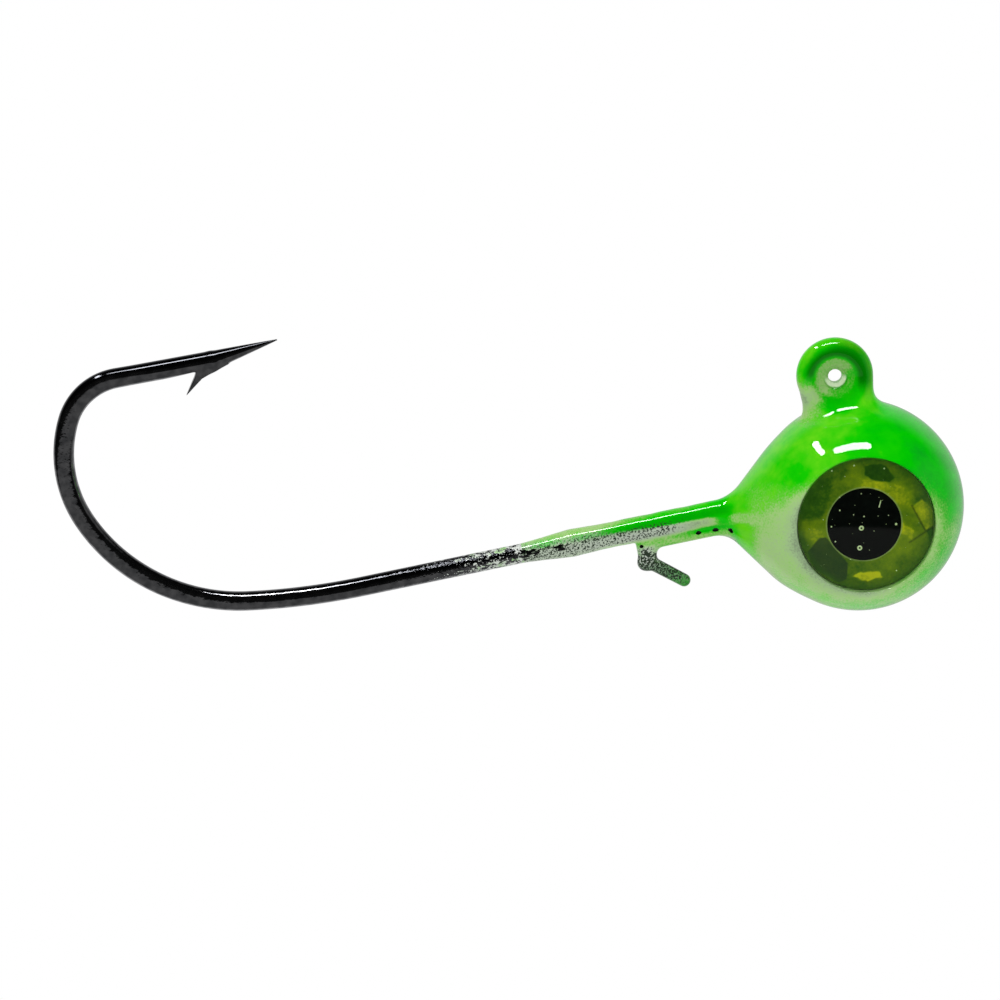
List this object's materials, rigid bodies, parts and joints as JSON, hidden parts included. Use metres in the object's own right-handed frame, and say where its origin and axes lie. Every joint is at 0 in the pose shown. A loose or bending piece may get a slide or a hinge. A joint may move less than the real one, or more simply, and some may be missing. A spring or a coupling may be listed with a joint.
{
  "type": "jig head",
  "caption": "Round painted ball jig head cast on a barbed jig hook, with a top line tie, domed sticker eyes and a wire bait keeper under the shank.",
  "frame": {"origin": "centre of the line-tie hole, in the hook's plane", "axes": "+X runs along the shank towards the nose, +Z points from the ball up to the line tie, +Y is the line-tie hole's axis, out of the left side"},
  "size_m": [0.0517, 0.0118, 0.0234],
  "materials": {
    "black_nickel": "polished black nickel plating",
    "lead": "as cast, dull grey lead alloy",
    "keeper_steel": "bright drawn wire",
    "white_undercoat": "matt pearl white undercoat",
    "green_paint": "sprayed fluorescent green, speckled where it thins",
    "clear_lacquer": "high gloss clear coat",
    "foam_adhesive": "double-sided foam",
    "holographic_foil": "shattered holographic foil, olive and yellow",
    "black_print": "gloss black print",
    "clear_resin": "clear domed resin, high gloss"
  },
  "bodies": {
    "root": {"hook": "black_nickel", "lead_head": "lead", "keeper_wire": "keeper_steel", "base_coat": "white_undercoat", "colour_coat": "green_paint", "clear_coat": "clear_lacquer", "left_eye_adhesive": "foam_adhesive", "left_eye_foil": "holographic_foil", "left_eye_pupil": "black_print", "left_eye_lens": "clear_resin", "right_eye_adhesive": "foam_adhesive", "right_eye_foil": "holographic_foil", "right_eye_pupil": "black_print", "right_eye_lens": "clear_resin"}
  },
  "joints": []
}
